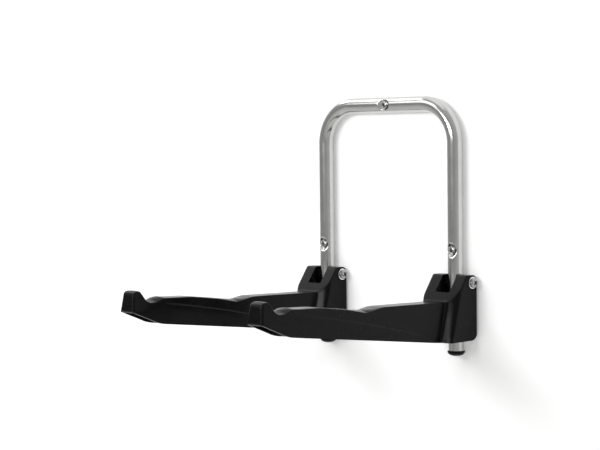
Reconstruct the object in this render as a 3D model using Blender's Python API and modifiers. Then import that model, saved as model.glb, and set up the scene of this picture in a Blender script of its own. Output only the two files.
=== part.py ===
"""Wall-mounted bike rack: a bent steel tube screwed to a wall, with two folding moulded arms.

Metres, +Z up, X along the wall, -Y out into the room. The wall is the plane Y = 0, and the
origin lies on it, on the axis of the top wall screw. A side view of an arm is drawn in (n, z):
n is the distance out from the pivot axis and z the height above it.
"""
import math

import bmesh
import bpy
from mathutils import Matrix, Vector

MM = 0.001

# Bent tube
TUBE_DIAMETER = 25.0 * MM
TUBE_WALL = 1.5 * MM
LEG_SPACING = 280.0 * MM
BEND_RADIUS = 62.5 * MM
PIVOT_BELOW_BAR = 280.0 * MM
TUBE_BELOW_PIVOT = 108.0 * MM
TUBE_SIDES = 24
BEND_STEPS = 8

# Pressed screw points: a cone in front, a flat against the wall behind
LEG_SCREW_ABOVE_PIVOT = 50.0 * MM
DIMPLE_CLEARANCE = 0.6 * MM
DIMPLE_DEPTH = 6.0 * MM
DIMPLE_SPREAD = 1.2
DIMPLE_SIDES = 24
FLAT_WIDTH = 9.0 * MM
FLAT_LENGTH = 26.0 * MM
FLAT_PROUD = 0.2 * MM

# Wall screws
SCREW_DIAMETER = 6.0 * MM
SCREW_LENGTH = 62.0 * MM
SCREW_POINT = 7.0 * MM
SCREW_HEAD_DIAMETER = 11.6 * MM
SCREW_HEAD_HEIGHT = 3.2 * MM
RECESS_WIDTH = 1.5 * MM
RECESS_SHARE = 0.52
RECESS_DEPTH_SHARE = 0.6
SCREW_RECESS_TURN = math.radians(20)

# End caps
CAP_LIP = 1.2 * MM
CAP_HEIGHT = 8.8 * MM
CAP_RIM = 2.2 * MM
CAP_PLUG_LENGTH = 14.0 * MM
CAP_PLUG_WALL = 2.0 * MM
CAP_RIB_PROUD = 0.4 * MM
CAP_RIB_PITCH = 4.5 * MM
CAP_RIB_RISE = 1.2 * MM
CAP_RIB_UNDER = 0.4 * MM
CAP_RIBS = 2
CAP_LEAD_IN = 1.0 * MM
CAP_EDGE = 0.6 * MM
CAP_FLOOR = 1.0 * MM

# Pivot bolt and what it holds
BOLT_DIAMETER = 8.0 * MM
BOLT_END_SHOWING = 1.6 * MM
BOLT_HEAD_DIAMETER = 15.6 * MM
BOLT_HEAD_HEIGHT = 5.2 * MM
BOLT_END_BEVEL = 0.8 * MM
BOLT_RECESS_TURN = math.radians(35)
HEAD_RIM_SHARE = 0.3
WASHER_DIAMETER = 19.0 * MM
WASHER_THICKNESS = 1.6 * MM
NUT_ACROSS_FLATS = 13.0 * MM
NUT_HEIGHT = 8.0 * MM
NUT_COLLAR_HEIGHT = 1.8 * MM
NUT_BEVEL_SHARE = 0.475
NUT_BEVEL_SLOPE = 1.73
NUT_COLLAR_SHARE = 0.46
NUT_COLLAR_END_SHARE = 0.42
SLEEVE_WALL = 1.7 * MM
SIDE_WASHER_DIAMETER = 17.0 * MM
SIDE_WASHER_THICKNESS = 0.9 * MM

# Arm in side view: each run is measured back from the form before it, each drop from the pivot
ARM_REACH = 435.5 * MM
HOOK_TOP = 0.6 * MM
HOOK_LENGTH = 12.5 * MM
HOOK_LEAN = 4.0 * MM
HOOK_FOOT = 30.4 * MM
HOOK_TO_CRADLE = 13.5 * MM
OUTER_CRADLE_DROP = 18.6 * MM
CRADLE_LENGTH = 17.0 * MM
CRADLE_END_DROP = 17.6 * MM
CRADLE_TO_HUMP = 13.0 * MM
HUMP_DROP = 12.8 * MM
HUMP_LENGTH = 57.5 * MM
HUMP_END_DROP = 14.9 * MM
HUMP_TO_SLOPE = 56.0 * MM
SLOPE_DROP = 22.0 * MM
SLOPE_TO_CRADLE = 40.0 * MM
INNER_CRADLE_DROP = 29.9 * MM
CRADLE_TO_BACK_HUMP = 36.0 * MM
BACK_HUMP_DROP = 24.2 * MM
HEEL = 42.6 * MM
HEEL_DROP = 27.8 * MM
LOBE_FRONT = 14.0 * MM
LOBE_WALL_GAP = 0.7 * MM
BACK_WALL_GAP = 2.7 * MM
HOUSING_DROP = 90.0 * MM
TIP_TO_BELLY = 53.5 * MM
BELLY_DROP = 51.4 * MM
BELLY_START = 60.0 * MM
HOOK_FOOT_ROUND = 3.0 * MM
HOOK_FRONT_ROUND = 7.5 * MM
HOOK_BACK_ROUND = 5.0 * MM
OUTER_CRADLE_ROUND = 20.0 * MM
HUMP_START_ROUND = 12.0 * MM
HUMP_ROUND = 150.0 * MM
INNER_CRADLE_ROUND = 14.0 * MM
BACK_HUMP_ROUND = 90.0 * MM
HEEL_ROUND = 16.0 * MM
LOBE_ROUND = 3.0 * MM
LOBE_BACK_ROUND = 8.0 * MM
HOUSING_FOOT_ROUND = 14.0 * MM
BELLY_ROUND = 110.0 * MM

# Arm seen from above
TIP_WIDTH = 32.0 * MM
ROOT_WIDTH = 35.0 * MM
HOOK_DRAFT = 0.115
HOOK_DRAFT_RUN = 45.0 * MM
TIP_ROUND = 3.5 * MM
LOBE_WIDTH = 21.0 * MM
SHOULDER_TOP = 44.0 * MM
SHOULDER_LEAN = 0.20
CORNER_TOP = 34.0 * MM
CORNER_LEAN = 0.31
CORNER_WIDTH_TOP = 8.0 * MM
CORNER_WIDTH_FOOT = 3.0 * MM
CORNER_SHARE = 0.9
SHOULDER_FILLET = 3.5 * MM

# Inside of the arm
ARM_WALL = 3.0 * MM
WEB_THICKNESS = 4.0 * MM
NOTCH_CLEARANCE = 1.5 * MM
RIB_THICKNESS = 2.0 * MM
RIB_RISE = 4.0 * MM
RIB_PITCH = 44.0 * MM
RIB_BAYS = 8
BOSS_DIAMETER = 18.0 * MM
STEM_SHARE = 0.98
HEAD_RECESS_DEPTH = 2.0 * MM
HEAD_RECESS_CLEARANCE = 1.1 * MM

# Clearances, and how far a cutter reaches past what it cuts
TOUCH = 0.3 * MM
BEYOND = 20.0 * MM

# Facets
ROUND_SIDES = 24
ROUND_STEP = math.radians(16)
CORNER_STEPS = 4
TIP_STEPS = 3
DOME_STEPS = 5
SMOOTH_ANGLE = math.radians(30)
TUBE_SMOOTH_ANGLE = math.radians(20)
TIP_TURN = math.radians(75)
WELD = 0.002 * MM

# Places worked out from the sizes above
TUBE_RADIUS = TUBE_DIAMETER / 2
WALL_TO_AXIS = TUBE_RADIUS + FLAT_PROUD
LEG_X = LEG_SPACING / 2
HOLE_RADIUS = BOLT_DIAMETER / 2 + TOUCH
SCREW_SEAT = TUBE_RADIUS - DIMPLE_DEPTH
DIMPLE_FLOOR_RADIUS = SCREW_HEAD_DIAMETER / 2 + DIMPLE_CLEARANCE
CHANNEL_WIDTH = TUBE_DIAMETER + 2 * (SIDE_WASHER_THICKNESS + 2 * TOUCH)
HOUSING_WIDTH = CHANNEL_WIDTH + 2 * LOBE_WIDTH
HEAD_SEAT = HOUSING_WIDTH / 2 - HEAD_RECESS_DEPTH
UNDER_HEAD = HEAD_SEAT + WASHER_THICKNESS + 2 * TOUCH
BOLT_LENGTH = 2 * UNDER_HEAD + NUT_HEIGHT + BOLT_END_SHOWING
HEAD_RECESS_RADIUS = WASHER_DIAMETER / 2 + HEAD_RECESS_CLEARANCE
HOUSING_BACK = WALL_TO_AXIS - BACK_WALL_GAP
LOBE_TOP = WALL_TO_AXIS - LOBE_WALL_GAP
NOTCH_DROP = TUBE_RADIUS + NOTCH_CLEARANCE
WEB_BACK = TUBE_RADIUS + TOUCH
WEB_FRONT = WEB_BACK + WEB_THICKNESS
BELLY = ARM_REACH - TIP_TO_BELLY
DRAFT_START = ARM_REACH - HOOK_DRAFT_RUN

COLOURS = {
    "satin_steel": ((0.62, 0.62, 0.61), 0.28, 1.0),
    "bright_zinc": ((0.78, 0.78, 0.77), 0.22, 1.0),
    "black_plastic": ((0.018, 0.018, 0.019), 0.42, 0.0),
    "cap_plastic": ((0.008, 0.008, 0.008), 0.35, 0.0),
    "nylon": ((0.72, 0.71, 0.66), 0.45, 0.0),
}


def start_scene():
    """Empties the scene and returns the collections for the parts and for the cutters."""
    for old in list(bpy.data.objects):
        bpy.data.objects.remove(old, do_unlink=True)
    parts = bpy.data.collections.new("bike_rack")
    cutters = bpy.data.collections.new("cutters")
    bpy.context.scene.collection.children.link(parts)
    bpy.context.scene.collection.children.link(cutters)
    return parts, cutters


PARTS, CUTTERS = start_scene()


def material(name):
    """Returns the Principled material of one of the colours, made on first use."""
    found = bpy.data.materials.get(name)
    if found:
        return found
    colour, roughness, metallic = COLOURS[name]
    made = bpy.data.materials.new(name)
    made.use_nodes = True
    shader = made.node_tree.nodes["Principled BSDF"]
    shader.inputs["Base Color"].default_value = (*colour, 1.0)
    shader.inputs["Roughness"].default_value = roughness
    shader.inputs["Metallic"].default_value = metallic
    made.diffuse_color = (*colour, 1.0)
    return made


def object_from(name, mesh, collection):
    """Links a mesh to a collection as an object."""
    made = bpy.data.objects.new(name, mesh)
    collection.objects.link(made)
    if collection == CUTTERS:
        made.hide_render = True
        made.display_type = "WIRE"
    return made


def mesh_of(source, name):
    """Returns the evaluated mesh of an object in its own space, with doubles welded."""
    bpy.context.view_layer.update()
    evaluated = source.evaluated_get(bpy.context.evaluated_depsgraph_get())
    mesh = bpy.data.meshes.new_from_object(evaluated)
    mesh.name = name
    cage = bmesh.new()
    cage.from_mesh(mesh)
    bmesh.ops.remove_doubles(cage, verts=cage.verts, dist=WELD)
    cage.to_mesh(mesh)
    cage.free()
    return mesh


def bake(source):
    """Replaces an object's modifiers by the mesh that they make."""
    mesh = mesh_of(source, source.name)
    source.modifiers.clear()
    source.data = mesh
    return source


def combine(target, tools, operation):
    """Cuts, joins or intersects the target with each tool in turn, and removes the tools."""
    for tool in tools:
        step = target.modifiers.new(operation.lower(), "BOOLEAN")
        step.operation = operation
        step.object = tool
        step.solver = "EXACT"
        bake(target)
        bpy.data.objects.remove(tool, do_unlink=True)
    return target


def finish(piece, name, slot, smooth_angle=SMOOTH_ANGLE):
    """Names a piece, gives it its material and shading, and puts it among the parts."""
    piece.name = name
    piece.data.materials.clear()
    piece.data.materials.append(material(slot))
    piece.data.shade_smooth()
    piece.data.set_sharp_from_angle(angle=smooth_angle)
    for home in list(piece.users_collection):
        home.objects.unlink(piece)
    PARTS.objects.link(piece)
    piece.hide_render = False
    piece.display_type = "TEXTURED"
    return piece


def copy_of(source, name):
    """Returns another object of the same mesh."""
    made = bpy.data.objects.new(name, source.data)
    PARTS.objects.link(made)
    return made


def arc(centre, radius, start, end, steps):
    """Points along an arc, angles in radians."""
    turns = [start + (end - start) * k / steps for k in range(steps + 1)]
    return [(centre[0] + radius * math.cos(a), centre[1] + radius * math.sin(a)) for a in turns]


def rounded(corners):
    """Points of a closed outline whose corners (u, v, radius) are rounded by arcs."""
    points = []
    count = len(corners)
    for k, (u, v, radius) in enumerate(corners):
        here = Vector((u, v))
        back = (Vector(corners[k - 1][:2]) - here).normalized()
        ahead = (Vector(corners[(k + 1) % count][:2]) - here).normalized()
        turn = math.pi - back.angle(ahead)
        if radius < WELD or turn < WELD:
            points.append((u, v))
            continue
        reach = radius * math.tan(turn / 2)
        centre = here + (back + ahead).normalized() * radius / math.cos(turn / 2)
        first = here + back * reach - centre
        last = here + ahead * reach - centre
        start = math.atan2(first.y, first.x)
        sweep = math.atan2(first.x * last.y - first.y * last.x, first.dot(last))
        steps = max(2, math.ceil(turn / ROUND_STEP))
        points += arc(centre, radius, start, start + sweep, steps)
    return points


def inset(corners, depth):
    """Corners of an anticlockwise outline moved inwards by a wall, with their radii to match."""
    moved = []
    count = len(corners)
    for k, (u, v, radius) in enumerate(corners):
        here = Vector((u, v))
        along_in = (here - Vector(corners[k - 1][:2])).normalized()
        along_out = (Vector(corners[(k + 1) % count][:2]) - here).normalized()
        side_in = Vector((-along_in.y, along_in.x))
        side_out = Vector((-along_out.y, along_out.x))
        bend = along_in.x * along_out.y - along_in.y * along_out.x
        shift = (side_in + side_out) * depth / (1 + side_in.dot(side_out))
        new_radius = radius - depth if bend > 0 else radius + depth
        moved.append((u + shift.x, v + shift.y, max(new_radius, 0.0)))
    return moved


def prism(name, outline, thickness, matrix):
    """A flat outline in the local XY plane, extruded both ways to a thickness along local Z."""
    curve = bpy.data.curves.new(name, "CURVE")
    curve.dimensions = "2D"
    curve.fill_mode = "BOTH"
    curve.extrude = thickness / 2
    spline = curve.splines.new("POLY")
    spline.points.add(len(outline) - 1)
    for point, (u, v) in zip(spline.points, outline):
        point.co = (u, v, 0.0, 1.0)
    spline.use_cyclic_u = True
    guide = object_from(name, curve, CUTTERS)
    mesh = mesh_of(guide, name)
    bpy.data.objects.remove(guide, do_unlink=True)
    mesh.transform(matrix)
    return object_from(name, mesh, CUTTERS)


def side_prism(name, outline, width):
    """Extrudes a side view, drawn in (n, z), to a width across the arm."""
    across = Matrix(((0, 0, 1, 0), (-1, 0, 0, 0), (0, 1, 0, 0), (0, 0, 0, 1)))
    return prism(name, outline, width, across)


def block(name, low, high):
    """A box between two corners."""
    cage = bmesh.new()
    bmesh.ops.create_cube(cage, size=1.0)
    size = Vector(high) - Vector(low)
    middle = (Vector(high) + Vector(low)) / 2
    bmesh.ops.scale(cage, vec=size, verts=cage.verts)
    bmesh.ops.translate(cage, vec=middle, verts=cage.verts)
    mesh = bpy.data.meshes.new(name)
    cage.to_mesh(mesh)
    cage.free()
    return object_from(name, mesh, CUTTERS)


def rod(name, radius, start, end, sides=ROUND_SIDES, end_radius=None):
    """A cylinder, or a cone, between two points."""
    start, end = Vector(start), Vector(end)
    cage = bmesh.new()
    bmesh.ops.create_cone(
        cage, cap_ends=True, segments=sides, radius1=radius,
        radius2=radius if end_radius is None else end_radius, depth=(end - start).length)
    turn = Vector((0, 0, 1)).rotation_difference(end - start).to_matrix().to_4x4()
    bmesh.ops.transform(cage, matrix=Matrix.Translation((start + end) / 2) @ turn, verts=cage.verts)
    mesh = bpy.data.meshes.new(name)
    cage.to_mesh(mesh)
    cage.free()
    return object_from(name, mesh, CUTTERS)


def turned(name, profile, axis):
    """Turns a profile of (radius, height), listed top to bottom, about an axis through the origin."""
    mesh = bpy.data.meshes.new(name)
    points = [(radius, 0.0, height) for radius, height in profile]
    mesh.from_pydata(points, [(k, k + 1) for k in range(len(points) - 1)], [])
    made = object_from(name, mesh, CUTTERS)
    screw = made.modifiers.new("turn", "SCREW")
    screw.axis = "Z"
    screw.steps = ROUND_SIDES
    screw.render_steps = ROUND_SIDES
    screw.use_merge_vertices = True
    screw.merge_threshold = WELD
    bake(made)
    turn = Vector((0, 0, 1)).rotation_difference(Vector(axis)).to_matrix().to_4x4()
    made.data.transform(turn)
    return made


def loft(name, rings):
    """Joins closed rings of equally many points into a solid with flat ends."""
    cage = bmesh.new()
    levels = [[cage.verts.new(point) for point in ring] for ring in rings]
    count = len(levels[0])
    for lower, upper in zip(levels, levels[1:]):
        for k in range(count):
            after = (k + 1) % count
            cage.faces.new((lower[k], lower[after], upper[after], upper[k]))
    cage.faces.new(list(reversed(levels[0])))
    cage.faces.new(levels[-1])
    bmesh.ops.recalc_face_normals(cage, faces=cage.faces)
    mesh = bpy.data.meshes.new(name)
    cage.to_mesh(mesh)
    cage.free()
    return object_from(name, mesh, CUTTERS)


# Frame tube

def tube_route(foot_extra=0.0):
    """Centreline of the bent tube, with its origin at the top bar's middle."""
    bar = LEG_X - BEND_RADIUS
    foot = -PIVOT_BELOW_BAR - TUBE_BELOW_PIVOT - foot_extra
    right = arc((bar, -BEND_RADIUS), BEND_RADIUS, math.pi / 2, 0.0, BEND_STEPS)
    half = [(0.0, 0.0)] + right + [(LEG_X, foot)]
    other = [(-x, z) for x, z in reversed(half[1:])]
    return other + half


def swept_tube(name, radius, foot_extra):
    """A solid round bar along the tube's route."""
    curve = bpy.data.curves.new(name, "CURVE")
    curve.dimensions = "3D"
    curve.bevel_depth = radius
    curve.bevel_resolution = (TUBE_SIDES - 4) // 2
    curve.use_fill_caps = True
    route = tube_route(foot_extra)
    spline = curve.splines.new("POLY")
    spline.points.add(len(route) - 1)
    for point, (x, z) in zip(spline.points, route):
        point.co = (x, -WALL_TO_AXIS, z, 1.0)
    guide = object_from(name, curve, CUTTERS)
    mesh = mesh_of(guide, name)
    bpy.data.objects.remove(guide, do_unlink=True)
    return object_from(name, mesh, CUTTERS)


def screw_points():
    """The three wall screws: name, x, z, and whether the tube runs along X there."""
    leg_z = LEG_SCREW_ABOVE_PIVOT - PIVOT_BELOW_BAR
    return (("top", 0.0, 0.0, True), ("left", -LEG_X, leg_z, False), ("right", LEG_X, leg_z, False))


def dimple(x, z, floor_out, floor_radius):
    """A cone that opens away from the wall, its floor at a distance in front of the tube's axis."""
    rise = TUBE_DIAMETER
    floor_y = -WALL_TO_AXIS - floor_out
    return rod(
        "dimple", floor_radius, (x, floor_y, z), (x, floor_y - rise, z),
        DIMPLE_SIDES, floor_radius + rise * DIMPLE_SPREAD)


def wall_flat(x, z, along_x):
    """The strip behind a screw point that the press leaves flat against the wall."""
    half_x = (FLAT_LENGTH if along_x else FLAT_WIDTH) / 2
    half_z = (FLAT_WIDTH if along_x else FLAT_LENGTH) / 2
    return block("flat", (x - half_x, -TUBE_RADIUS / 2, z - half_z), (x + half_x, 0.0, z + half_z))


def frame_tube():
    """Bent tube with pressed screw points, wall flats and cross holes for the pivots."""
    outer = swept_tube("frame_tube", TUBE_RADIUS, 0.0)
    inner = swept_tube("tube_bore", TUBE_RADIUS - TUBE_WALL, BEYOND)
    slant = math.hypot(1.0, DIMPLE_SPREAD)
    under_radius = DIMPLE_FLOOR_RADIUS + TUBE_WALL * (slant - DIMPLE_SPREAD)
    for _, x, z, along_x in screw_points():
        combine(outer, [wall_flat(x, z, along_x)], "UNION")
        combine(outer, [dimple(x, z, SCREW_SEAT, DIMPLE_FLOOR_RADIUS)], "DIFFERENCE")
        combine(inner, [dimple(x, z, SCREW_SEAT - TUBE_WALL, under_radius)], "DIFFERENCE")
    combine(outer, [inner], "DIFFERENCE")
    for _, x, z, _ in screw_points():
        radius = SCREW_DIAMETER / 2 + TOUCH
        start = (x, -WALL_TO_AXIS - TUBE_DIAMETER, z)
        combine(outer, [rod("screw_hole", radius, start, (x, BEYOND, z))], "DIFFERENCE")
    for side in (-1, 1):
        x, reach = side * LEG_X, TUBE_DIAMETER
        hole = rod("pivot_hole", HOLE_RADIUS, (x - reach, -WALL_TO_AXIS, -PIVOT_BELOW_BAR),
                   (x + reach, -WALL_TO_AXIS, -PIVOT_BELOW_BAR))
        combine(outer, [hole], "DIFFERENCE")
    return finish(outer, "frame_tube", "satin_steel", TUBE_SMOOTH_ANGLE)


# End caps

def end_cap():
    """Domed cap with a ribbed hollow plug that grips the inside of the tube."""
    head = TUBE_RADIUS + CAP_LIP
    grip = TUBE_RADIUS - TUBE_WALL - TOUCH
    plug = grip - CAP_RIB_PROUD
    bore = plug - CAP_PLUG_WALL
    rim = -TOUCH - CAP_RIM
    depth = CAP_HEIGHT - CAP_RIM
    profile = [(0.0, CAP_FLOOR), (bore, CAP_FLOOR), (bore, CAP_PLUG_LENGTH)]
    profile += [(plug - CAP_RIB_PROUD, CAP_PLUG_LENGTH), (plug, CAP_PLUG_LENGTH - CAP_LEAD_IN)]
    for k in range(1, CAP_RIBS + 1):
        z = CAP_PLUG_LENGTH - CAP_RIB_PITCH * k
        profile += [(plug, z + CAP_RIB_RISE), (grip, z), (plug, z - CAP_RIB_UNDER)]
    profile += [(plug, -TOUCH), (head - CAP_EDGE, -TOUCH), (head, -TOUCH - CAP_EDGE)]
    dome = arc((0.0, 0.0), 1.0, 0.0, -math.pi / 2, DOME_STEPS)
    profile += [(head * u, rim + depth * v) for u, v in dome]
    return turned("end_cap", profile, (0, 0, 1))


# Fasteners

def domed_head(radius, height):
    """Upper profile of a pan head, from its crown to its rim, above its seat at height 0."""
    rim = height * HEAD_RIM_SHARE
    dome = arc((0.0, 0.0), 1.0, math.pi / 2, 0.0, DOME_STEPS)
    return [(radius * u, rim + (height - rim) * v) for u, v in dome]


def cross_recess(head, diameter, height, turn):
    """Cuts a cross into the crown of a head that points up."""
    reach = diameter * RECESS_SHARE / 2
    floor = height * (1 - RECESS_DEPTH_SHARE)
    width = RECESS_WIDTH * diameter / SCREW_HEAD_DIAMETER / 2
    bars = [block("cross", (-reach, -width, floor), (reach, width, height * 2)),
            block("cross", (-width, -reach, floor), (width, reach, height * 2))]
    cross = combine(bars[0], [bars[1]], "UNION")
    cross.data.transform(Matrix.Rotation(turn, 4, "Z"))
    return combine(head, [cross], "DIFFERENCE")


def wall_screw():
    """Screw with a domed cross-recess head, its seat at the origin and its shank along +Y."""
    shank = SCREW_DIAMETER / 2
    head = SCREW_HEAD_DIAMETER / 2
    profile = domed_head(head, SCREW_HEAD_HEIGHT)
    profile += [(head, 0.0), (shank, 0.0), (shank, SCREW_POINT - SCREW_LENGTH), (0.0, -SCREW_LENGTH)]
    made = turned("wall_screw", profile, (0, 0, 1))
    cross_recess(made, SCREW_HEAD_DIAMETER, SCREW_HEAD_HEIGHT, SCREW_RECESS_TURN)
    made.data.transform(Matrix.Rotation(math.pi / 2, 4, "X"))
    return made


def pivot_bolt():
    """Bolt with a domed head whose shank runs along -X from its seat at the origin."""
    shank = BOLT_DIAMETER / 2
    head = BOLT_HEAD_DIAMETER / 2
    profile = domed_head(head, BOLT_HEAD_HEIGHT)
    profile += [(head, 0.0), (shank, 0.0), (shank, BOLT_END_BEVEL - BOLT_LENGTH)]
    profile += [(shank - BOLT_END_BEVEL, -BOLT_LENGTH), (0.0, -BOLT_LENGTH)]
    made = turned("pivot_bolt", profile, (0, 0, 1))
    cross_recess(made, BOLT_HEAD_DIAMETER, BOLT_HEAD_HEIGHT, BOLT_RECESS_TURN)
    made.data.transform(Matrix.Rotation(math.pi / 2, 4, "Y"))
    return made


def ring(name, outer, low, high):
    """A washer or sleeve on a bolt's shank, about the X axis, between two places along it."""
    inner = HOLE_RADIUS
    profile = [(inner, high), (outer, high), (outer, low), (inner, low), (inner, high)]
    return turned(name, profile, (1, 0, 0))


def lock_nut():
    """Hexagon nut with a round collar at its far end, about X from 0 to minus its height."""
    hex_height = NUT_HEIGHT - NUT_COLLAR_HEIGHT
    corner = NUT_ACROSS_FLATS / math.sqrt(3)
    body = rod("lock_nut", corner, (0, 0, 0), (-hex_height, 0, 0), 6)
    end = NUT_ACROSS_FLATS * NUT_BEVEL_SHARE
    wide = end + (hex_height + BEYOND) * NUT_BEVEL_SLOPE
    bevel = rod("nut_bevel", wide, (BEYOND, 0, 0), (-hex_height, 0, 0), ROUND_SIDES * 2, end)
    combine(body, [bevel], "INTERSECT")
    collar = rod("collar", NUT_ACROSS_FLATS * NUT_COLLAR_SHARE, (-hex_height / 2, 0, 0),
                 (-NUT_HEIGHT, 0, 0), ROUND_SIDES, NUT_ACROSS_FLATS * NUT_COLLAR_END_SHARE)
    combine(body, [collar], "UNION")
    hole = rod("nut_hole", HOLE_RADIUS, (BEYOND, 0, 0), (-BEYOND, 0, 0))
    return combine(body, [hole], "DIFFERENCE")


# Moulded arm, drawn about its pivot axis

def hook_front(z):
    """How far out the hook's leaning end face is at a height."""
    return ARM_REACH - HOOK_LEAN * (z + HOOK_FOOT) / (HOOK_TOP + HOOK_FOOT)


def shoulder_front(z):
    """How far out the housing's forward shoulder is at a height."""
    return SHOULDER_TOP - SHOULDER_LEAN * (z + HEEL_DROP)


def corner_front(z):
    """How far out the housing's flat side ends, where its corner begins to turn in."""
    return CORNER_TOP - CORNER_LEAN * (z + HEEL_DROP)


def side_corners():
    """Side view of the arm as rounded corners: the underside, then the top from tip to heel."""
    back = hook_front(HOOK_TOP) - HOOK_LENGTH
    cradle = back - HOOK_TO_CRADLE
    cradle_end = cradle - CRADLE_LENGTH
    hump = cradle_end - CRADLE_TO_HUMP
    hump_end = hump - HUMP_LENGTH
    slope = hump_end - HUMP_TO_SLOPE
    inner_cradle = slope - SLOPE_TO_CRADLE
    back_hump = inner_cradle - CRADLE_TO_BACK_HUMP
    underside = [
        (-HOUSING_BACK, -HOUSING_DROP, HOUSING_FOOT_ROUND),
        (BELLY_START, -HOUSING_DROP, 0.0),
        (BELLY, -BELLY_DROP, BELLY_ROUND),
        (hook_front(-HOOK_FOOT), -HOOK_FOOT, HOOK_FOOT_ROUND),
    ]
    top = [
        (hook_front(HOOK_TOP), HOOK_TOP, HOOK_FRONT_ROUND),
        (back, HOOK_TOP, HOOK_BACK_ROUND),
        (cradle, -OUTER_CRADLE_DROP, OUTER_CRADLE_ROUND),
        (cradle_end, -CRADLE_END_DROP, OUTER_CRADLE_ROUND),
        (hump, -HUMP_DROP, HUMP_START_ROUND),
        (hump_end, -HUMP_END_DROP, HUMP_ROUND),
        (slope, -SLOPE_DROP, HUMP_ROUND),
        (inner_cradle, -INNER_CRADLE_DROP, INNER_CRADLE_ROUND),
        (back_hump, -BACK_HUMP_DROP, BACK_HUMP_ROUND),
        (HEEL, -HEEL_DROP, HEEL_ROUND),
    ]
    lobe = [(LOBE_FRONT, LOBE_TOP, LOBE_ROUND), (-HOUSING_BACK, LOBE_TOP, LOBE_BACK_ROUND)]
    return underside, top, lobe


def inner_corners(wall):
    """The side view's underside, top and lobe corners, moved inwards by a wall."""
    underside, top, lobe = side_corners()
    moved = inset(underside + top + lobe, wall)
    below, above = len(underside), len(underside) + len(top)
    return moved[:below], moved[below:above], moved[above:]


def half_width(n, z):
    """Half of the beam's width: it tapers evenly to the tip, and the hook narrows upwards."""
    taper = (ROOT_WIDTH + (TIP_WIDTH - ROOT_WIDTH) * n / ARM_REACH) / 2
    share = min(max((n - DRAFT_START) / HOOK_DRAFT_RUN, 0.0), 1.0)
    return taper - HOOK_DRAFT * share * max(z + HOOK_FOOT, 0.0)


def plan_ring(z, corner_width):
    """Outline of the arm seen from above at a height: housing, shoulders, beam and tip."""
    side = HOUSING_WIDTH / 2
    front = shoulder_front(z)
    corner = corner_front(z)
    fillet = SHOULDER_FILLET
    inner = half_width(front, z) + fillet
    corner_width = min(corner_width, (side - inner) * CORNER_SHARE)
    half = [(side, -HOUSING_BACK - BEYOND)]
    half += [(side + corner_width * (u - 1), corner + (front - corner) * v)
             for u, v in arc((0.0, 0.0), 1.0, 0.0, math.pi / 2, CORNER_STEPS)]
    half += [(inner - fillet * v, front + fillet * (1 - u))
             for u, v in arc((0.0, 0.0), 1.0, 0.0, math.pi / 2, CORNER_STEPS)]
    half += [(half_width(DRAFT_START, z), DRAFT_START)]
    face = hook_front(z)
    centre = (half_width(face, z) - TIP_ROUND, face - TIP_ROUND)
    half += arc(centre, TIP_ROUND, 0.0, TIP_TURN, TIP_STEPS)
    out_x = half[-1][0] - TIP_ROUND * math.sin(TIP_TURN) / 2
    out_n = half[-1][1] + TIP_ROUND * math.cos(TIP_TURN) / 2
    half += [(out_x, out_n), (out_x, face + BEYOND)]
    other = [(-x, n) for x, n in reversed(half)]
    return [(x, -n, z) for x, n in half + other]


def arm_body():
    """Outside of the arm: its side view and its plan view, both as solids, intersected."""
    corners = sum(side_corners(), [])
    body = side_prism("arm", rounded(corners), HOUSING_WIDTH + BEYOND)
    low, high = -HOUSING_DROP - BEYOND, LOBE_TOP + BEYOND
    grow = (CORNER_WIDTH_TOP - CORNER_WIDTH_FOOT) / (HOUSING_DROP - HEEL_DROP)
    rings = []
    for z in (low, -HOOK_FOOT, high):
        corner = CORNER_WIDTH_FOOT + grow * (z + HOUSING_DROP)
        rings.append(plan_ring(z, max(corner, CORNER_WIDTH_FOOT / 2)))
    return combine(body, [loft("plan", rings)], "INTERSECT")


def beam_cavity():
    """Space under the beam, open below, with zigzag ribs left standing in it."""
    underside, top, lobe = inner_corners(ARM_WALL)
    deep = -HOUSING_DROP - BEYOND
    floor = -NOTCH_DROP - ARM_WALL
    heel_n, heel_z = top[-1][:2]
    slope = (lobe[0][1] - heel_z) / (lobe[0][0] - heel_n)
    ramp = heel_n + (floor - heel_z) / slope
    outline = [(WEB_FRONT, deep, 0.0), (underside[-1][0], deep, 0.0)] + top
    outline += [(ramp, floor, 0.0), (WEB_FRONT, floor, 0.0)]
    cavity = side_prism("cavity", rounded(outline), HOUSING_WIDTH)
    rings = []
    for z in (deep - BEYOND, -HOOK_FOOT, BEYOND):
        near = min(half_width(WEB_FRONT, z) - ARM_WALL, CHANNEL_WIDTH / 2)
        middle = half_width(DRAFT_START, z) - ARM_WALL
        far = half_width(ARM_REACH, z) - ARM_WALL
        half = [(near, 0.0), (middle, DRAFT_START), (far, ARM_REACH)]
        other = [(-x, n) for x, n in reversed(half)]
        rings.append([(x, -n, z) for x, n in half + other])
    combine(cavity, [loft("cavity_plan", rings)], "INTERSECT")
    return combine(cavity, [zigzag_ribs()], "DIFFERENCE")


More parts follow.
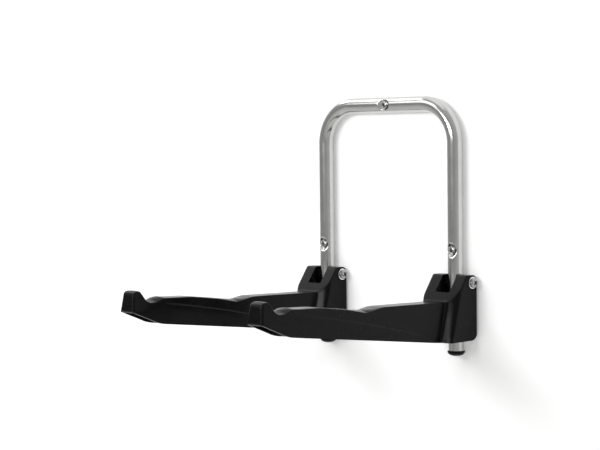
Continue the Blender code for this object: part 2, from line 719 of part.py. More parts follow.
def zigzag_ribs():
    """Thin upright plates that cross the beam's hollow to and fro, ending above its rim."""
    underside, top, lobe = inner_corners(RIB_RISE)
    keep = side_prism("rib_space", rounded(underside + top + lobe), HOUSING_WIDTH)
    start = WEB_FRONT + RIB_PITCH / 2
    ribs = None
    for k in range(RIB_BAYS):
        near, far = start + RIB_PITCH * k, start + RIB_PITCH * (k + 1)
        side = 1 if k % 2 else -1
        across = half_width((near + far) / 2, -HOUSING_DROP)
        run = Vector((-2 * side * across, -(far - near), 0.0))
        middle = Vector((0.0, -(near + far) / 2, -HOUSING_DROP / 2))
        plate = block("rib", (-run.length / 2, -RIB_THICKNESS / 2, -HOUSING_DROP),
                      (run.length / 2, RIB_THICKNESS / 2, HOUSING_DROP))
        turn = Vector((1, 0, 0)).rotation_difference(run.normalized()).to_matrix().to_4x4()
        plate.data.transform(Matrix.Translation(middle) @ turn)
        ribs = plate if ribs is None else combine(ribs, [plate], "UNION")
    return combine(keep, [ribs], "INTERSECT")


def lobe_cavity(side):
    """Space inside one side of the housing, open below, round the bolt's boss."""
    underside, top, lobe = inner_corners(ARM_WALL)
    deep = -HOUSING_DROP - BEYOND
    front = shoulder_front(-HOUSING_DROP) + BEYOND
    heel = top[-1]
    outline = [(underside[0][0], deep, 0.0), (front, deep, 0.0), (front, heel[1], 0.0), heel] + lobe
    cavity = side_prism("lobe_cavity", rounded(outline), HOUSING_WIDTH * 2)
    inner = CHANNEL_WIDTH / 2 + ARM_WALL
    outer = HOUSING_WIDTH / 2 - ARM_WALL
    rings = []
    for z in (deep - BEYOND, BEYOND):
        face = shoulder_front(z) - ARM_WALL
        turn_in = corner_front(z) - ARM_WALL
        chamfer = CORNER_WIDTH_TOP / 2
        plan = [(inner, -HOUSING_BACK * 2), (outer, -HOUSING_BACK * 2), (outer, min(turn_in, face)),
                (outer - chamfer, face), (inner, face)]
        rings.append([(side * x, -n, z) for x, n in plan])
    combine(cavity, [loft("lobe_plan", rings)], "INTERSECT")
    boss = BOSS_DIAMETER / 2
    inside, outside = side * (inner - TOUCH * 2), side * (outer + TOUCH * 2)
    round_boss = rod("boss", boss, (inside, 0, 0), (outside, 0, 0))
    stem_half = boss * STEM_SHARE
    stem = block("stem", (min(inside, outside), -stem_half, 0.0), (max(inside, outside), stem_half, BEYOND))
    return combine(cavity, [round_boss, stem], "DIFFERENCE")


def head_recess(side):
    """Shallow pocket in the outer face of one lobe, open at the top, for a head or a nut."""
    floor = side * HEAD_SEAT
    out = side * (HOUSING_WIDTH / 2 + BEYOND)
    pocket = rod("recess", HEAD_RECESS_RADIUS, (floor, 0, 0), (out, 0, 0))
    reach = HEAD_RECESS_RADIUS
    mouth = block("mouth", (min(floor, out), -reach, 0.0), (max(floor, out), reach, BEYOND))
    return combine(pocket, [mouth], "UNION")


def arm():
    """One moulded arm with its hollow underside, channel for the tube, notch and pivot bore."""
    body = arm_body()
    half = CHANNEL_WIDTH / 2
    channel = block("channel", (-half, -WEB_BACK, -HOUSING_DROP - BEYOND), (half, BEYOND * 2, BEYOND * 2))
    notch = block("notch", (-half, -HEEL - BEYOND, -NOTCH_DROP), (half, BEYOND, BEYOND * 2))
    bore = rod("bore", HOLE_RADIUS, (-HOUSING_WIDTH, 0, 0), (HOUSING_WIDTH, 0, 0))
    cuts = [beam_cavity(), lobe_cavity(-1), lobe_cavity(1), channel, notch,
            head_recess(-1), head_recess(1), bore]
    return combine(body, cuts, "DIFFERENCE")


# Assembly

def place_frame():
    """The tube, its caps and its wall screws."""
    frame_tube()
    cap = finish(end_cap(), "end_cap_left", "cap_plastic")
    other = copy_of(cap, "end_cap_right")
    foot = -PIVOT_BELOW_BAR - TUBE_BELOW_PIVOT
    cap.location = (-LEG_X, -WALL_TO_AXIS, foot)
    other.location = (LEG_X, -WALL_TO_AXIS, foot)
    screw = None
    for name, x, z, _ in screw_points():
        if screw is None:
            screw = finish(wall_screw(), "wall_screw_" + name, "bright_zinc")
            piece = screw
        else:
            piece = copy_of(screw, "wall_screw_" + name)
        piece.location = (x, -WALL_TO_AXIS - SCREW_SEAT - TOUCH, z)


def pivot_pieces():
    """What each arm turns on and is held by: kind, its maker, its material and its place along X."""
    washer = WASHER_DIAMETER / 2
    seat = HEAD_SEAT + TOUCH
    sleeve = HOLE_RADIUS + SLEEVE_WALL
    sleeve_end = math.sqrt((TUBE_RADIUS - TUBE_WALL) ** 2 - sleeve ** 2) - TOUCH
    return (
        ("arm", arm, "black_plastic", 0.0),
        ("pivot_bolt", pivot_bolt, "bright_zinc", UNDER_HEAD),
        ("head_washer", lambda: ring("washer", washer, 0.0, WASHER_THICKNESS), "bright_zinc", seat),
        ("nut_washer", lambda: ring("washer", washer, -WASHER_THICKNESS, 0.0), "bright_zinc", -seat),
        ("lock_nut", lock_nut, "bright_zinc", -UNDER_HEAD),
        ("crush_sleeve", lambda: ring("sleeve", sleeve, -sleeve_end, sleeve_end), "bright_zinc", 0.0),
    )


def side_washer(turn):
    """Thin washer between the tube and the channel's wall, on the +X or the -X side of the tube."""
    low, high = TUBE_RADIUS + TOUCH, CHANNEL_WIDTH / 2 - TOUCH
    ends = (low, high) if turn > 0 else (-high, -low)
    return ring("side_washer", SIDE_WASHER_DIAMETER / 2, *ends)


def place_arms():
    """Both arms and what they turn on, each set under an empty on its pivot axis."""
    pivots = {}
    for side, x in (("left", -LEG_X), ("right", LEG_X)):
        pivots[side] = bpy.data.objects.new("pivot_" + side, None)
        PARTS.objects.link(pivots[side])
        pivots[side].location = (x, -WALL_TO_AXIS, -PIVOT_BELOW_BAR)
    for kind, maker, slot, shift in pivot_pieces():
        piece = finish(maker(), kind + "_left", slot)
        other = copy_of(piece, kind + "_right")
        for made, side in ((piece, "left"), (other, "right")):
            made.location = (shift, 0, 0)
            made.parent = pivots[side]
    for side, out in (("left", -1), ("right", 1)):
        for place, turn in (("outer", out), ("inner", -out)):
            washer = finish(side_washer(turn), "side_washer_" + side + "_" + place, "nylon")
            washer.parent = pivots[side]


place_frame()
place_arms()
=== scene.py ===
"""Looks of a wall-mounted bike rack: a bent steel tube screwed to a wall, with two folding arms.

Lengths are written in millimetres in the part's own frame: X along the wall, -Y out into the
room, +Z up, with the origin on the wall at the axis of the top screw. Meshes are scaled to metres.
"""

import bmesh
import bpy
import numpy as np
from mathutils import Matrix, Vector as Direction


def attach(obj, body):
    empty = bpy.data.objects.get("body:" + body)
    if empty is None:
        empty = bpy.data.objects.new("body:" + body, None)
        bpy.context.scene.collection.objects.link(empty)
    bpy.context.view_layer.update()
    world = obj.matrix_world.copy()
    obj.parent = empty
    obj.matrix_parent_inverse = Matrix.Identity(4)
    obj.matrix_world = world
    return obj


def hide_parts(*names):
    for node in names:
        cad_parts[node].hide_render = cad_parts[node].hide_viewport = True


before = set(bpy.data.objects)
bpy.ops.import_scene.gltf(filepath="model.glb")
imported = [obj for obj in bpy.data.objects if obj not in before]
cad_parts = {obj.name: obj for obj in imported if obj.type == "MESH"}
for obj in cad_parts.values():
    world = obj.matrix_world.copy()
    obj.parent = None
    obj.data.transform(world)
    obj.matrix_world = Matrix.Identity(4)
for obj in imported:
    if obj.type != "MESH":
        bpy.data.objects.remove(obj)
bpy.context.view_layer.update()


# Bent tube: 25 mm steel tube, bent twice, with a screw point pressed into the front at three
# places and a short flat pressed behind each, then plated bright and left satin. It carries the
# arms and bears on the wall.
TUBE_RADIUS = 12.5
TUBE_WALL = 1.5
WALL_TO_AXIS = 12.7
LEG_X = 140.0
PIVOT_Z = -280.0
FOOT_Z = -388.0
BEND_RADIUS = 62.5
SCREW_PLACES = ((0.0, 0.0), (-LEG_X, -230.0), (LEG_X, -230.0))
PRESS_FLOOR = 6.5
PRESS_FLOOR_RADIUS = 6.3
PRESS_SPREAD = 5.3
PRESS_RISE = 6.0
PRESS_CURVE = 1.4
PRESS_LIP = 2.2
PRESS_REACH = 24.0
FLAT_HALF_WIDTH = 4.5
FLAT_HALF_LENGTH = 13.0
TUBE_COLUMNS = 120


def linear(code, strength=1.0):
    """Turns an sRGB hex value into linear red, green, blue and an alpha of 1."""
    value = np.array([int(code[k:k + 2], 16) for k in (1, 3, 5)]) / 255.0
    value = np.where(value <= 0.04045, value / 12.92, ((value + 0.055) / 1.055) ** 2.4)
    return (*(value * strength), 1.0)


def add(tree, kind, settings=None, **sockets):
    """Adds a node with its settings; each socket is given a value or a link.

    A socket is named as in Blender with _ for a space, or _ and its number.
    """
    made = tree.nodes.new("ShaderNode" + kind)
    for name, value in (settings or {}).items():
        setattr(made, name, value)
    for name, value in sockets.items():
        place = int(name[1:]) if name[1:].isdigit() else name.replace("_", " ")
        socket = made.inputs[place]
        if isinstance(value, bpy.types.NodeSocket):
            tree.links.new(value, socket)
        else:
            socket.default_value = value
    return made


def new_material(name):
    """Makes an empty node material and returns it with its tree and its Object coordinates."""
    made = bpy.data.materials.new(name)
    made.use_nodes = True
    tree = made.node_tree
    tree.nodes.clear()
    return made, tree, add(tree, "TexCoord").outputs["Object"]


def quads(rows, columns):
    """Faces of a grid of points that closes round on itself, row by row."""
    index = np.arange(rows * columns).reshape(rows, columns)
    index = np.concatenate([index, index[:, :1]], axis=1)
    low, high = index[:-1], index[1:]
    return np.stack([low[:, :-1], low[:, 1:], high[:, 1:], high[:, :-1]], axis=-1).reshape(-1, 4)


def skin(name, points, faces, smooth_angle=35.0):
    """Makes a mesh object of points in millimetres, welded, faced outwards and smoothed."""
    mesh = bpy.data.meshes.new(name)
    mesh.from_pydata(np.asarray(points, float).reshape(-1, 3) * 0.001, [], [tuple(f) for f in faces])
    made = bpy.data.objects.new(name, mesh)
    bpy.context.scene.collection.objects.link(made)
    tidy(made, smooth_angle)
    return made


def tidy(piece, smooth_angle):
    """Welds doubles, turns every face outwards and marks edges over an angle as sharp."""
    work = bmesh.new()
    work.from_mesh(piece.data)
    bmesh.ops.remove_doubles(work, verts=work.verts, dist=1e-6)
    bmesh.ops.recalc_face_normals(work, faces=work.faces)
    work.to_mesh(piece.data)
    work.free()
    piece.data.shade_smooth()
    piece.data.set_sharp_from_angle(angle=np.radians(smooth_angle))


def smooth_step(value, start, end):
    """Rises from 0 to 1 between start and end, level at both."""
    share = np.clip((value - start) / (end - start), 0.0, 1.0)
    return share * share * (3 - 2 * share)


def soft_least(one, two, blend):
    """The lesser of two heights, rounded over a blend where they cross."""
    share = np.clip(0.5 + 0.5 * (two - one) / blend, 0.0, 1.0)
    return two + (one - two) * share - blend * share * (1 - share)


def tube_stations():
    """Places along the tube, dense in the bends and at the pressed points, with their frames."""
    bar = LEG_X - BEND_RADIUS
    near = np.arange(-19, 19.01, 0.65)
    leg = np.unique(np.round(np.concatenate([np.linspace(FOOT_Z, -BEND_RADIUS, 34), -230.0 + near]), 3))
    turn = np.linspace(0, np.pi / 2, 37)[1:-1]
    top = np.unique(np.round(np.concatenate([np.linspace(-bar, bar, 16), near]), 3))
    left_x = -bar - BEND_RADIUS * np.cos(turn)
    bend_z = -BEND_RADIUS + BEND_RADIUS * np.sin(turn)
    x = np.concatenate([np.full(leg.size, -LEG_X), left_x, top, -left_x[::-1], np.full(leg.size, LEG_X)])
    z = np.concatenate([leg, bend_z, np.zeros(top.size), bend_z[::-1], leg[::-1]])
    out_x = np.concatenate([np.full(leg.size, -1.0), -np.cos(turn), np.zeros(top.size),
                            np.cos(turn[::-1]), np.ones(leg.size)])
    out_z = np.concatenate([np.zeros(leg.size), np.sin(turn), np.ones(top.size),
                            np.sin(turn[::-1]), np.zeros(leg.size)])
    return x, z, out_x, out_z


def tube_grid(inward):
    """A circle carried along the bent route, pressed in at the three screw points.

    The circle's front is lowered to the lesser of itself and a bowl, whose flat floor holds the
    screw head and whose wall rises as a power of the reach from it. Behind, a strip of the circle
    is pushed out to the wall.
    """
    x, z, out_x, out_z = tube_stations()
    radius = TUBE_RADIUS - inward
    turn = np.linspace(0, 2 * np.pi, TUBE_COLUMNS, endpoint=False) + np.pi / TUBE_COLUMNS
    across, front = radius * np.cos(turn), radius * np.sin(turn)
    grid_x = x[:, None] + out_x[:, None] * across
    grid_z = z[:, None] + out_z[:, None] * across
    height = np.broadcast_to(front, grid_x.shape).copy()
    for place_x, place_z in SCREW_PLACES:
        reach = np.hypot(grid_x - place_x, grid_z - place_z)
        rise = PRESS_RISE * (np.maximum(reach - PRESS_FLOOR_RADIUS, 0.0) / PRESS_SPREAD) ** PRESS_CURVE
        bowl = PRESS_FLOOR - inward + rise
        near = (reach < PRESS_REACH) & (height > 0)
        height = np.where(near, soft_least(height, bowl, PRESS_LIP), height)
        along = np.abs(grid_z - place_z) if place_x else np.abs(grid_x - place_x)
        aside = np.abs(grid_x - place_x) if place_x else np.abs(grid_z - place_z)
        flat = 1 - smooth_step(along, FLAT_HALF_LENGTH - 1, FLAT_HALF_LENGTH + 4)
        flat = flat * (1 - smooth_step(aside, FLAT_HALF_WIDTH - 0.5, FLAT_HALF_WIDTH + 1.5))
        pressed = -(WALL_TO_AXIS - inward)
        height = np.where(height < 0, height + (pressed - height) * flat, height)
    return np.stack([grid_x, -WALL_TO_AXIS - height, grid_z], axis=-1)


def bent_tube():
    """The tube's outer and inner skins, joined at its two open feet."""
    outer, inner = tube_grid(0.0), tube_grid(TUBE_WALL)
    rows, columns = outer.shape[:2]
    faces = quads(rows, columns)
    inside = faces[:, ::-1] + rows * columns
    rim = []
    for row in (0, rows - 1):
        first = row * columns + np.arange(columns)
        after = row * columns + (np.arange(columns) + 1) % columns
        rim.append(np.stack([first, after, after + rows * columns, first + rows * columns], axis=-1))
    return skin("tube", np.concatenate([outer.reshape(-1, 3), inner.reshape(-1, 3)]),
                np.concatenate([faces, inside, *rim]))


def satin_steel():
    """Zinc-plated steel tube, drawn and lightly brushed: soft long reflections, faint mottling."""
    made, tree, place = new_material("plated_steel_satin")
    cloud = add(tree, "TexNoise", Vector=place, Scale=38.0, Detail=3.0, Roughness=0.6)
    grain = add(tree, "Mapping", Vector=place, Scale=(3000.0, 3000.0, 60.0))
    fine = add(tree, "TexNoise", Vector=grain.outputs[0], Scale=1.0, Detail=2.0, Roughness=0.6)
    rough = add(tree, "MapRange", Value=cloud.outputs["Fac"], From_Min=0.3, From_Max=0.7,
                To_Min=0.15, To_Max=0.19)
    tone = add(tree, "MapRange", Value=cloud.outputs["Fac"], From_Min=0.25, From_Max=0.75)
    colour = add(tree, "Mix", {"data_type": "RGBA"}, _0=tone.outputs["Result"],
                 _6=linear("#c1c1bf"), _7=linear("#cbcbc9"))
    bump = add(tree, "Bump", Strength=0.02, Distance=0.0001, Height=fine.outputs["Fac"])
    shader = add(tree, "BsdfPrincipled", Base_Color=colour.outputs[2], Metallic=1.0,
                 Roughness=rough.outputs["Result"], Normal=bump.outputs["Normal"])
    add(tree, "OutputMaterial", Surface=shader.outputs["BSDF"])
    return made


STEEL = satin_steel()
tube = bent_tube()
tube.data.materials.append(STEEL)
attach(tube, "frame")
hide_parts("frame_tube")


# End caps: black polyethylene caps, moulded with a low dome and a hollow ribbed plug, and pushed
# into the tube's feet. Their rim stands a little proud of the tube.
CAP_RADIUS = 13.7
CAP_RIM = 2.2
CAP_HEIGHT = 8.8
CAP_GAP = 0.3
PLUG_RADIUS = 10.3
PLUG_RIB = 10.7
PLUG_BORE = 8.3
PLUG_LENGTH = 14.0
TURNED_SIDES = 72


def rounded_profile(corners, steps=6):
    """Points of an open profile (radius, height, rounding): each corner becomes an arc."""
    corners = np.asarray(corners, float)
    points = [corners[0, :2]]
    for before, here, after in zip(corners[:-2], corners[1:-1], corners[2:]):
        back, ahead = before[:2] - here[:2], after[:2] - here[:2]
        back, ahead = back / np.linalg.norm(back), ahead / np.linalg.norm(ahead)
        half = np.arccos(np.clip(back @ ahead, -1, 1)) / 2
        if here[2] < 1e-6 or abs(half - np.pi / 2) < 1e-4:
            points.append(here[:2])
            continue
        centre = here[:2] + (back + ahead) / np.linalg.norm(back + ahead) * here[2] / np.sin(half)
        first = here[:2] + back * here[2] / np.tan(half) - centre
        last = here[:2] + ahead * here[2] / np.tan(half) - centre
        share = np.linspace(0, 1, steps + 1)[:, None]
        spread = np.pi - 2 * half
        points.extend(centre + (np.sin((1 - share) * spread) * first + np.sin(share * spread) * last)
                      / np.sin(spread))
    points.append(corners[-1, :2])
    return np.array(points)


def turned(name, profile, centre, axis):
    """A closed profile (radius, height) turned about an axis, X or Z, through a centre."""
    profile = np.asarray(profile, float)
    turn = np.linspace(0, 2 * np.pi, TURNED_SIDES, endpoint=False)
    frames = {"X": ((0, 1, 0), (0, 0, 1), (1, 0, 0)), "Z": ((1, 0, 0), (0, 1, 0), (0, 0, 1))}
    one, two, up = (np.array(v, float) for v in frames[axis])
    ring = np.cos(turn)[:, None] * one + np.sin(turn)[:, None] * two
    points = profile[:, 0, None, None] * ring + profile[:, 1, None, None] * up + np.asarray(centre, float)
    return skin(name, points, quads(len(profile), TURNED_SIDES))


def end_cap(name, x):
    """Low dome over a short rim, with the plug's wall and two grip ribs above it."""
    dome = np.linspace(-np.pi / 2, 0, 16)
    low = -CAP_GAP - CAP_RIM
    outer = np.stack([CAP_RADIUS * np.cos(dome), low + (CAP_HEIGHT - CAP_RIM) * np.sin(dome)], -1)
    rest = rounded_profile([(CAP_RADIUS, low, 0), (CAP_RADIUS, -CAP_GAP, 0.6), (PLUG_RADIUS, -CAP_GAP, 0),
                            (PLUG_RADIUS, 4.6, 0), (PLUG_RIB, 5.0, 0), (PLUG_RADIUS, 6.2, 0),
                            (PLUG_RADIUS, 9.1, 0), (PLUG_RIB, 9.5, 0), (PLUG_RADIUS, 10.7, 0),
                            (PLUG_RADIUS, PLUG_LENGTH - 1.0, 0.6), (PLUG_RADIUS - 0.4, PLUG_LENGTH, 0),
                            (PLUG_BORE, PLUG_LENGTH, 0), (PLUG_BORE, 1.0, 0), (0.0, 1.0, 0)])
    return turned(name, np.concatenate([outer[:-1], rest]), (x, -WALL_TO_AXIS, FOOT_Z), "Z")


def moulded_cap():
    """Polyethylene from a polished mould: near black, soft sheen, with faint flow marks."""
    made, tree, place = new_material("polyethylene_moulded_black")
    flow = add(tree, "TexNoise", Vector=place, Scale=160.0, Detail=4.0)
    rough = add(tree, "MapRange", Value=flow.outputs["Fac"], To_Min=0.3, To_Max=0.42)
    tone = add(tree, "Mix", {"data_type": "RGBA"}, _0=flow.outputs["Fac"],
               _6=linear("#040405"), _7=linear("#070708"))
    shader = add(tree, "BsdfPrincipled", Base_Color=tone.outputs[2], Roughness=rough.outputs["Result"],
                 IOR=1.51, Specular_IOR_Level=0.12)
    add(tree, "OutputMaterial", Surface=shader.outputs["BSDF"])
    return made


CAP_BLACK = moulded_cap()
for side, x in (("left", -LEG_X), ("right", LEG_X)):
    cap = end_cap("cap_" + side, x)
    cap.data.materials.append(CAP_BLACK)
    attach(cap, "frame")
    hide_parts("end_cap_" + side)


# Wall screws: 6 mm steel pan-head screws with a cross recess, a rolled thread and zinc plating
# that has dulled a little. Each head sits on the floor of a pressed point, and its shank passes
# through the tube into the wall.
SCREW_HEAD = {"radius": 5.8, "height": 3.2, "angle": np.radians(20), "cross": (3.3, 0.85, 2.3)}
SCREW_SHANK = {"radius": 3.0, "core": 2.1, "length": 62.0, "pitch": 2.6, "thread_from": 12.0,
               "point": 7.0}
SCREW_SEAT_Y = -(WALL_TO_AXIS + PRESS_FLOOR + 0.3)
RIM_SHARE = 0.26
HEAD_COLUMNS = 192
SHANK_COLUMNS = 36
FASTENER_ANGLE = 30.0


def recess_depth(x, y, reach, width, depth):
    """Depth of a cross recess: two crossed slots whose floor slopes up to their ends."""
    def slot(along, aside):
        walls = 1 - smooth_step(np.abs(aside), width * 0.85, width * 1.1)
        ends = 1 - smooth_step(np.abs(along), reach * 0.7, reach)
        return walls * ends
    return depth * np.maximum(slot(x, y), slot(y, x))


def pan_head(radius, height, angle, cross):
    """Crown of a pan head as a polar grid: nearly an ellipse in section, less the cross recess."""
    share = np.concatenate([np.linspace(0.002, 0.72, 64), np.sin(np.linspace(0.81, np.pi / 2, 16))])
    turn = np.linspace(0, 2 * np.pi, HEAD_COLUMNS, endpoint=False)
    x, y = radius * share[:, None] * np.cos(turn), radius * share[:, None] * np.sin(turn)
    swell = np.sqrt(np.maximum(1 - share[:, None] ** 2.6, 0.0))
    along = x * np.cos(angle) + y * np.sin(angle)
    aside = y * np.cos(angle) - x * np.sin(angle)
    top = height * (RIM_SHARE + (1 - RIM_SHARE) * swell) - recess_depth(along, aside, *cross)
    rim = rounded_profile([(radius, height * RIM_SHARE, 0), (radius, 0.0, 0.25), (0.0, 0.0, 0)])[1:-1]
    under_x, under_y = rim[:, :1] * np.cos(turn), rim[:, :1] * np.sin(turn)
    under = np.broadcast_to(rim[:, 1:], under_x.shape)
    return np.stack([np.concatenate([x, under_x]), np.concatenate([y, under_y]),
                     np.concatenate([top, under])], axis=-1)


def shank(radius, core, length, pitch, thread_from, point):
    """Shank as a grid round and along it: a helical ridge stands on the core past thread_from."""
    turn = np.linspace(0, 2 * np.pi, SHANK_COLUMNS, endpoint=False)
    along = np.linspace(0, length, int(length / pitch * 10))
    phase = (along[:, None] / pitch - turn / (2 * np.pi)) % 1.0
    ridge = np.maximum(1 - np.abs(phase - 0.5) / 0.32, 0.0)
    threaded = smooth_step(along, thread_from, thread_from + pitch)[:, None]
    reach = radius + threaded * (core - radius + (radius - core) * ridge)
    if point:
        taper = np.clip((length - along) / point, 0.0, 1.0)[:, None]
        reach = reach * np.maximum(taper, 0.03) ** 0.8
    height = np.broadcast_to(-along[:, None], reach.shape)
    return np.stack([reach * np.cos(turn), reach * np.sin(turn), height], axis=-1)


def fastener(name, head, stem, axis, centre):
    """Joins a head and a shank, drawn upright at the origin, and lays them along an axis."""
    faces, count = [], 0
    for grid in (head, stem):
        rows, columns = grid.shape[:2]
        faces += (quads(rows, columns) + count).tolist()
        for row in (0, rows - 1):
            faces.append((count + row * columns + np.arange(columns)).tolist())
        count += rows * columns
    x, y, z = np.concatenate([head.reshape(-1, 3), stem.reshape(-1, 3)]).T
    laid = {"Y": np.stack([x, -z, y], axis=-1), "X": np.stack([z, x, y], axis=-1)}[axis]
    return skin(name, laid + np.asarray(centre, float), faces, FASTENER_ANGLE)


def zinc_plating(name, low, high):
    """Zinc plating on cold-formed steel, between two tones: nearly a mirror, under a soft haze."""
    made, tree, place = new_material(name)
    haze = add(tree, "TexNoise", Vector=place, Scale=420.0, Detail=3.0)
    rough = add(tree, "MapRange", Value=haze.outputs["Fac"], To_Min=0.16, To_Max=0.3)
    tone = add(tree, "Mix", {"data_type": "RGBA"}, _0=haze.outputs["Fac"],
               _6=linear(low), _7=linear(high))
    bump = add(tree, "Bump", Strength=0.08, Distance=0.0001, Height=haze.outputs["Fac"])
    shader = add(tree, "BsdfPrincipled", Base_Color=tone.outputs[2], Metallic=1.0,
                 Roughness=rough.outputs["Result"], Normal=bump.outputs["Normal"])
    add(tree, "OutputMaterial", Surface=shader.outputs["BSDF"])
    return made


DULL_ZINC = zinc_plating("zinc_plating_dull", "#9c9d9e", "#aeafaf")
for side, (x, z) in zip(("top", "left", "right"), SCREW_PLACES):
    screw = fastener("screw_" + side, pan_head(**SCREW_HEAD), shank(**SCREW_SHANK), "Y",
                     (x, SCREW_SEAT_Y, z))
    screw.data.materials.append(DULL_ZINC)
    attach(screw, "frame")
    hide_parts("wall_screw_" + side)


# Arms: each is one moulding of glass-filled black nylon. A hollow ribbed beam, open below, has two
# cradles and an upturned end; its root widens into a forked housing that straddles the tube and
# turns on a bolt through both lobes.
REACH = 435.5
HOOK_TOP = 0.6
HOOK_FOOT = -30.4
HOOK_LEAN = 4.0 / 31.0
HOOK_DRAFT = 0.115
DROP = -90.0
LOBE_TOP = 12.0
BACK = -10.0
SIDE = 35.0
ROOT_HALF = 17.5
TIP_HALF = 16.0
CHANNEL_HALF = 14.0
CHANNEL_FRONT = 12.8
NOTCH_FLOOR = -14
SHELL = 3.0
HEEL = (42.6, -27.8)
LOBE_FRONT = 14.0
RIM = 2.0
SHOULDER_AT = 43.3
SHOULDER_SLANT = 0.225
FAR_SIDE_SHIFT = 4.5
CREASE_BAND = 1.5
PROUD = 1.1
TUCK = 0.8
TIP_ROUND = 7.5
BACK_ROUND = 8.0
FOOT_ROUND = 14.0
RIB_FROM = 38.8
RIB_PITCH = 44
RIB_HALF = 15.5
BOSS_RADIUS = 9.0
STEM_HALF = 8.6
POCKET_DEPTH = 2.0
POCKET_RADIUS = 10.6
POCKET_FRONT = 13.0
BORE_RADIUS = 4.3
# How far the top is crowned, and where the crease runs on the sides, by distance from the pivot.
CROWN_AT = ((-20, 0.0), (60, 0.0), (150, 0.3), (186, 0.3), (197, 0.5), (206, 1.5), (214, 2.8),
            (221, 3.4), (230, 2.8), (243, 1.5), (256, 0.6), (300, 0.2), (350, 0.0), (365, 0.6),
            (372, 1.5), (379, 2.6), (385, 3.4), (389, 2.8), (393, 1.6), (397, 0.7), (404, 0.3),
            (412, 0.4), (436, 0.4))
CREASE_AT = ((-20, -96.0), (45, -88.0), (93, -76.2), (121, -69.1), (150, -62.9), (173, -57.6),
             (190, -53.6), (210, -49.0), (244, -42.0), (280, -35.6), (322, -28.6), (348, -24.6),
             (375, -21.0), (436, -17.0))
# The top and bottom edges in side view: distance out from the pivot, height over it, rounding.
TOP_CORNERS = ((-20, LOBE_TOP, 0), (LOBE_FRONT, LOBE_TOP, 3), (*HEEL, 5), (186, -24.2, 90),
               (222, -29.9, 14), (262, -22.0, 150), (318, -14.9, 150), (375.5, -12.8, 12),
               (388.5, -17.6, 12), (405.5, -18.6, 17), (419, HOOK_TOP, 5), (445, HOOK_TOP, 0))
FLOOR_CORNERS = ((-20, DROP, 0), (60, DROP, 200), (382.5, -51.9, 70), (431.5, HOOK_FOOT - 1.6, 0),
                 (445, HOOK_FOOT + 3.6, 0))


def arm_top(n):
    """Height of the arm's top edge at a distance out, from its rounded outline."""
    return np.interp(n, *rounded_profile(TOP_CORNERS, 12).T)


def arm_floor(n):
    """Height of the arm's bottom edge at a distance out."""
    return np.interp(n, *rounded_profile(FLOOR_CORNERS, 12).T)


def beam_top(n):
    """Height of the beam's own top, with the housing's rise left out."""
    return np.minimum(arm_top(n), arm_top(np.maximum(n, 60.0)))


def hook_lean(n):
    """How far the hook leans in for each millimetre of height, at a distance out."""
    return HOOK_LEAN * smooth_step(n, REACH - 34, REACH - 8)


def edge_fall(gap, radius):
    """How far a corner of a radius falls away at a gap from the end face."""
    share = 1 - np.clip(gap / radius, 0.0, 1.0)
    return radius * (1 - np.sqrt(np.maximum(1 - share * share, 0.0)))


def arm_half(n, z, further=0.0):
    """Half width: an even taper and the hook's draft, and a quarter wave out to the housing.

    The wave starts at a sharp inner corner on the beam's side and ends level with the housing's
    side; it is steeper low down, and can be set further out.
    """
    taper = ROOT_HALF + (TIP_HALF - ROOT_HALF) * n / REACH
    draft = HOOK_DRAFT * smooth_step(n, REACH - 52, REACH - 6) * np.maximum(z - HOOK_FOOT, 0.0)
    length = np.clip(12 + 0.06 * (z + 20), 7.5, 13)
    share = (SHOULDER_AT - SHOULDER_SLANT * (z + 27) + further - n) / length
    share = 0.5 * (share + np.sqrt(share * share + 0.012))
    wide = np.sin(np.pi / 2 * np.minimum(share, 1.0))
    return taper - draft + (SIDE - taper) * wide


